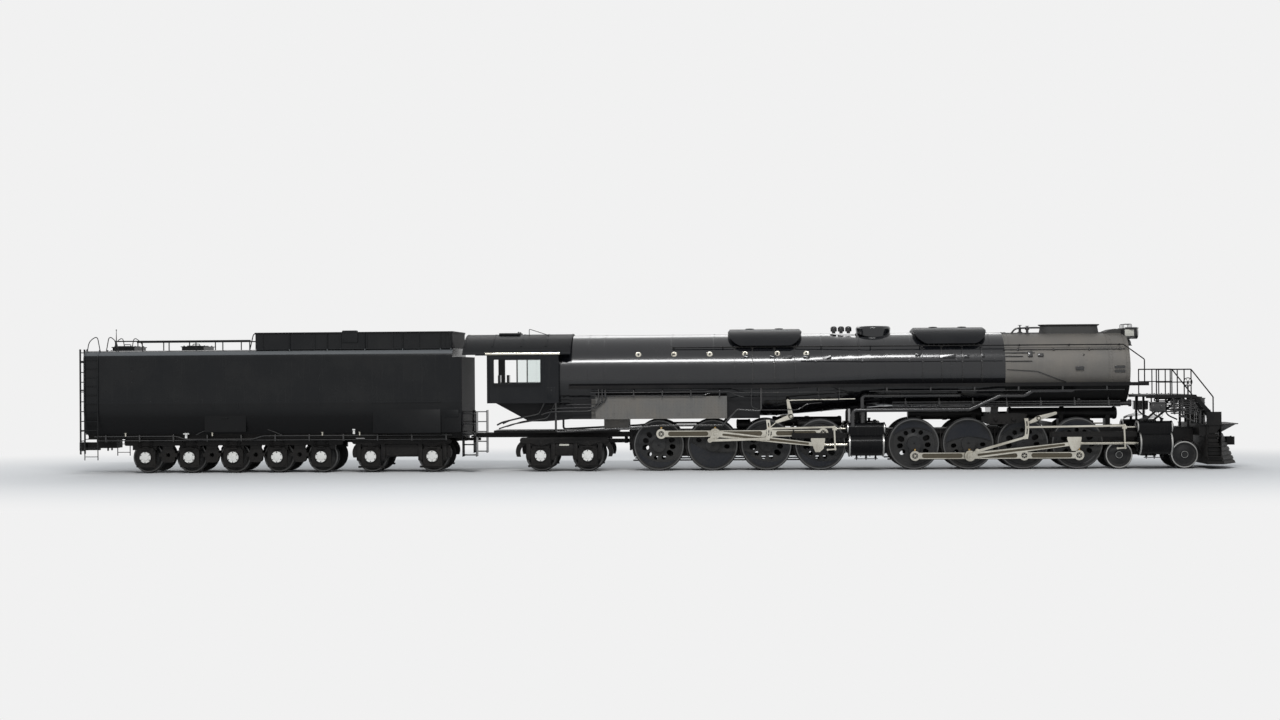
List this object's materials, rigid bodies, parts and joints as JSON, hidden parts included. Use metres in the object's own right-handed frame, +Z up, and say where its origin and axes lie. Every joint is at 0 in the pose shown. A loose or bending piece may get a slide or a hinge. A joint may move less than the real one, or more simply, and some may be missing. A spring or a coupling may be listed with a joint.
{
  "type": "articulated steam locomotive with tender, half-size scale model",
  "caption": "Half-size articulated steam locomotive: two coupled engine units with working side rods under one long boiler, cab, and tender.",
  "frame": {"origin": "on the floor under the middle of the machine, at the bottom of the wheel flanges", "axes": "+X forward along the boiler, +Y to the left side, +Z up"},
  "size_m": [20.233, 1.672, 2.491],
  "materials": {
    "jacket_black": "glossy",
    "smokebox_graphite": "matte, heat-stained",
    "firebox_grey": "matte, riveted",
    "cab_black": "satin",
    "tender_black": "satin",
    "frame_black": "satin, dusty",
    "wheel_grey": "satin, bright treads",
    "rod_steel": "polished, oiled",
    "pipe_black": "satin, heat-stained",
    "cylinder_black": "semi-gloss",
    "lamp_metal": "satin",
    "window_glass": "clear"
  },
  "bodies": {
    "locomotive": {"rear_frame": "frame_black", "rear_cylinders": "cylinder_black", "rear_valve_gear": "rod_steel", "boiler": "jacket_black", "smokebox": "smokebox_graphite", "stack": "smokebox_graphite", "sandboxes": "jacket_black", "steam_dome": "jacket_black", "firebox": "firebox_grey", "backhead": "jacket_black", "running_boards": "frame_black", "steam_pipes": "pipe_black", "cab": "cab_black", "cab_roof": "cab_black", "cab_windows": "window_glass", "headlight": "lamp_metal"},
    "front_engine": {"front_frame": "frame_black", "front_cylinders": "cylinder_black", "front_valve_gear": "rod_steel", "front_deck": "frame_black", "pilot": "frame_black", "air_pumps": "pipe_black"},
    "lead_truck": {"lead_truck_frame": "frame_black"},
    "trailing_truck": {"trailing_truck_frame": "frame_black"},
    "tender": {"tender_frame": "frame_black", "tender_tank": "tender_black", "coal_bunker": "tender_black", "tender_fittings": "tender_black"},
    "tender_truck": {"tender_truck_frame": "frame_black"},
    "rear_driver_axle_1": {"rear_driver_axle_1": "wheel_grey"},
    "rear_driver_axle_2": {"rear_driver_axle_2": "wheel_grey"},
    "rear_driver_axle_3": {"rear_driver_axle_3": "wheel_grey"},
    "rear_driver_axle_4": {"rear_driver_axle_4": "wheel_grey"},
    "rear_side_rod_right": {"rear_side_rod_right": "rod_steel"},
    "rear_crosshead_right": {"rear_crosshead_right": "rod_steel"},
    "rear_main_rod_right": {"rear_main_rod_right": "rod_steel"},
    "rear_side_rod_left": {"rear_side_rod_left": "rod_steel"},
    "rear_crosshead_left": {"rear_crosshead_left": "rod_steel"},
    "rear_main_rod_left": {"rear_main_rod_left": "rod_steel"},
    "front_driver_axle_1": {"front_driver_axle_1": "wheel_grey"},
    "front_driver_axle_2": {"front_driver_axle_2": "wheel_grey"},
    "front_driver_axle_3": {"front_driver_axle_3": "wheel_grey"},
    "front_driver_axle_4": {"front_driver_axle_4": "wheel_grey"},
    "front_side_rod_right": {"front_side_rod_right": "rod_steel"},
    "front_crosshead_right": {"front_crosshead_right": "rod_steel"},
    "front_main_rod_right": {"front_main_rod_right": "rod_steel"},
    "front_side_rod_left": {"front_side_rod_left": "rod_steel"},
    "front_crosshead_left": {"front_crosshead_left": "rod_steel"},
    "front_main_rod_left": {"front_main_rod_left": "rod_steel"},
    "lead_axle_1": {"lead_axle_1": "wheel_grey"},
    "lead_axle_2": {"lead_axle_2": "wheel_grey"},
    "trailing_axle_1": {"trailing_axle_1": "wheel_grey"},
    "trailing_axle_2": {"trailing_axle_2": "wheel_grey"},
    "tender_truck_axle_1": {"tender_truck_axle_1": "wheel_grey"},
    "tender_truck_axle_2": {"tender_truck_axle_2": "wheel_grey"},
    "tender_axle_1": {"tender_axle_1": "wheel_grey"},
    "tender_axle_2": {"tender_axle_2": "wheel_grey"},
    "tender_axle_3": {"tender_axle_3": "wheel_grey"},
    "tender_axle_4": {"tender_axle_4": "wheel_grey"},
    "tender_axle_5": {"tender_axle_5": "wheel_grey"}
  },
  "joints": [
    {"name": "front_engine_swing", "type": "hinge", "parent": "locomotive", "child": "front_engine", "pos_m": [3.95, 0, 0.505], "axis": [0, 0, 1], "range_deg": [-5.75, 5.75]},
    {"name": "lead_truck_swing", "type": "hinge", "parent": "front_engine", "child": "lead_truck", "pos_m": [8.6215, 0, 0.38], "axis": [0, 0, 1], "range_deg": [-3.5, 3.5]},
    {"name": "trailing_truck_swing", "type": "hinge", "parent": "locomotive", "child": "trailing_truck", "pos_m": [-0.38, 0, 0.5125], "axis": [0, 0, 1], "range_deg": [-4, 4]},
    {"name": "tender_swing", "type": "hinge", "parent": "locomotive", "child": "tender", "pos_m": [-3.025, 0, 0.5525], "axis": [0, 0, 1], "range_deg": [-10, 10]},
    {"name": "tender_truck_swing", "type": "hinge", "parent": "tender", "child": "tender_truck", "pos_m": [-4.252, 0, 0.604], "axis": [0, 0, 1], "range_deg": [-4, 4]},
    {"name": "rear_driver_axle_1_turn", "type": "hinge", "parent": "locomotive", "child": "rear_driver_axle_1", "pos_m": [2.986, 0, 0.446], "axis": [0, 1, 0], "continuous": true},
    {"name": "rear_driver_axle_2_turn", "type": "hinge", "parent": "locomotive", "child": "rear_driver_axle_2", "pos_m": [2.059, 0, 0.446], "axis": [0, 1, 0], "continuous": true},
    {"name": "rear_driver_axle_3_turn", "type": "hinge", "parent": "locomotive", "child": "rear_driver_axle_3", "pos_m": [1.132, 0, 0.446], "axis": [0, 1, 0], "continuous": true},
    {"name": "rear_driver_axle_4_turn", "type": "hinge", "parent": "locomotive", "child": "rear_driver_axle_4", "pos_m": [0.205, 0, 0.446], "axis": [0, 1, 0], "continuous": true},
    {"name": "rear_side_rod_right_turn", "type": "hinge", "parent": "rear_driver_axle_3", "child": "rear_side_rod_right", "pos_m": [1.17766, -0.5, 0.6438], "axis": [0, 1, 0], "continuous": true},
    {"name": "rear_crosshead_right_slide", "type": "slide", "parent": "locomotive", "child": "rear_crosshead_right", "axis": [1, 0, 0], "range_m": [-0.23758, 0.16842]},
    {"name": "rear_main_rod_right_swing", "type": "hinge", "parent": "rear_crosshead_right", "child": "rear_main_rod_right", "pos_m": [2.93658, -0.57, 0.446], "axis": [0, 1, 0], "range_deg": [-13, 0.17]},
    {"name": "rear_side_rod_left_turn", "type": "hinge", "parent": "rear_driver_axle_3", "child": "rear_side_rod_left", "pos_m": [1.3298, 0.5, 0.40033], "axis": [0, 1, 0], "continuous": true},
    {"name": "rear_crosshead_left_slide", "type": "slide", "parent": "locomotive", "child": "rear_crosshead_left", "axis": [1, 0, 0], "range_m": [-0.40021, 0.00579]},
    {"name": "rear_main_rod_left_swing", "type": "hinge", "parent": "rear_crosshead_left", "child": "rear_main_rod_left", "pos_m": [3.09921, 0.57, 0.446], "axis": [0, 1, 0], "range_deg": [-5.11, 8.06]},
    {"name": "front_driver_axle_1_turn", "type": "hinge", "parent": "front_engine", "child": "front_driver_axle_1", "pos_m": [7.3675, 0, 0.446], "axis": [0, 1, 0], "continuous": true},
    {"name": "front_driver_axle_2_turn", "type": "hinge", "parent": "front_engine", "child": "front_driver_axle_2", "pos_m": [6.4405, 0, 0.446], "axis": [0, 1, 0], "continuous": true},
    {"name": "front_driver_axle_3_turn", "type": "hinge", "parent": "front_engine", "child": "front_driver_axle_3", "pos_m": [5.5135, 0, 0.446], "axis": [0, 1, 0], "continuous": true},
    {"name": "front_driver_axle_4_turn", "type": "hinge", "parent": "front_engine", "child": "front_driver_axle_4", "pos_m": [4.5865, 0, 0.446], "axis": [0, 1, 0], "continuous": true},
    {"name": "front_side_rod_right_turn", "type": "hinge", "parent": "front_driver_axle_3", "child": "front_side_rod_right", "pos_m": [5.52058, -0.5, 0.24312], "axis": [0, 1, 0], "continuous": true},
    {"name": "front_crosshead_right_slide", "type": "slide", "parent": "front_engine", "child": "front_crosshead_right", "axis": [1, 0, 0], "range_m": [-0.19842, 0.20758]},
    {"name": "front_main_rod_right_swing", "type": "hinge", "parent": "front_crosshead_right", "child": "front_main_rod_right", "pos_m": [7.27892, -0.57, 0.446], "axis": [0, 1, 0], "range_deg": [0, 13.17]},
    {"name": "front_side_rod_left_turn", "type": "hinge", "parent": "front_driver_axle_3", "child": "front_side_rod_left", "pos_m": [5.31062, 0.5, 0.43891], "axis": [0, 1, 0], "continuous": true},
    {"name": "front_crosshead_left_slide", "type": "slide", "parent": "front_engine", "child": "front_crosshead_left", "axis": [1, 0, 0], "range_m": [-0.00011, 0.40589]},
    {"name": "front_main_rod_left_swing", "type": "hinge", "parent": "front_crosshead_left", "child": "front_main_rod_left", "pos_m": [7.08061, 0.57, 0.446], "axis": [0, 1, 0], "range_deg": [-6.36, 6.82]},
    {"name": "lead_axle_1_turn", "type": "hinge", "parent": "lead_truck", "child": "lead_axle_1", "pos_m": [9.174, 0, 0.2425], "axis": [0, 1, 0], "continuous": true},
    {"name": "lead_axle_2_turn", "type": "hinge", "parent": "lead_truck", "child": "lead_axle_2", "pos_m": [8.069, 0, 0.2425], "axis": [0, 1, 0], "continuous": true},
    {"name": "trailing_axle_1_turn", "type": "hinge", "parent": "trailing_truck", "child": "trailing_axle_1", "pos_m": [-1.018, 0, 0.2805], "axis": [0, 1, 0], "continuous": true},
    {"name": "trailing_axle_2_turn", "type": "hinge", "parent": "trailing_truck", "child": "trailing_axle_2", "pos_m": [-1.832, 0, 0.2805], "axis": [0, 1, 0], "continuous": true},
    {"name": "tender_truck_axle_1_turn", "type": "hinge", "parent": "tender_truck", "child": "tender_truck_axle_1", "pos_m": [-3.7145, 0, 0.2805], "axis": [0, 1, 0], "continuous": true},
    {"name": "tender_truck_axle_2_turn", "type": "hinge", "parent": "tender_truck", "child": "tender_truck_axle_2", "pos_m": [-4.7895, 0, 0.2805], "axis": [0, 1, 0], "continuous": true},
    {"name": "tender_axle_1_turn", "type": "hinge", "parent": "tender", "child": "tender_axle_1", "pos_m": [-5.6565, 0, 0.2805], "axis": [0, 1, 0], "continuous": true},
    {"name": "tender_axle_2_turn", "type": "hinge", "parent": "tender", "child": "tender_axle_2", "pos_m": [-6.429, 0, 0.2805], "axis": [0, 1, 0], "continuous": true},
    {"name": "tender_axle_3_turn", "type": "hinge", "parent": "tender", "child": "tender_axle_3", "pos_m": [-7.2015, 0, 0.2805], "axis": [0, 1, 0], "continuous": true},
    {"name": "tender_axle_4_turn", "type": "hinge", "parent": "tender", "child": "tender_axle_4", "pos_m": [-7.974, 0, 0.2805], "axis": [0, 1, 0], "continuous": true},
    {"name": "tender_axle_5_turn", "type": "hinge", "parent": "tender", "child": "tender_axle_5", "pos_m": [-8.7465, 0, 0.2805], "axis": [0, 1, 0], "continuous": true}
  ],
  "couplings": [
    {"joint": "rear_driver_axle_1_turn", "follows": "rear_driver_axle_3_turn", "ratio": 1},
    {"joint": "rear_driver_axle_2_turn", "follows": "rear_driver_axle_3_turn", "ratio": 1},
    {"joint": "rear_driver_axle_4_turn", "follows": "rear_driver_axle_3_turn", "ratio": 1},
    {"joint": "rear_side_rod_right_turn", "follows": "rear_driver_axle_3_turn", "ratio": -1},
    {"joint": "rear_side_rod_left_turn", "follows": "rear_driver_axle_3_turn", "ratio": -1},
    {"joint": "front_driver_axle_1_turn", "follows": "front_driver_axle_3_turn", "ratio": 1},
    {"joint": "front_driver_axle_2_turn", "follows": "front_driver_axle_3_turn", "ratio": 1},
    {"joint": "front_driver_axle_4_turn", "follows": "front_driver_axle_3_turn", "ratio": 1},
    {"joint": "front_side_rod_right_turn", "follows": "front_driver_axle_3_turn", "ratio": -1},
    {"joint": "front_side_rod_left_turn", "follows": "front_driver_axle_3_turn", "ratio": -1}
  ]
}
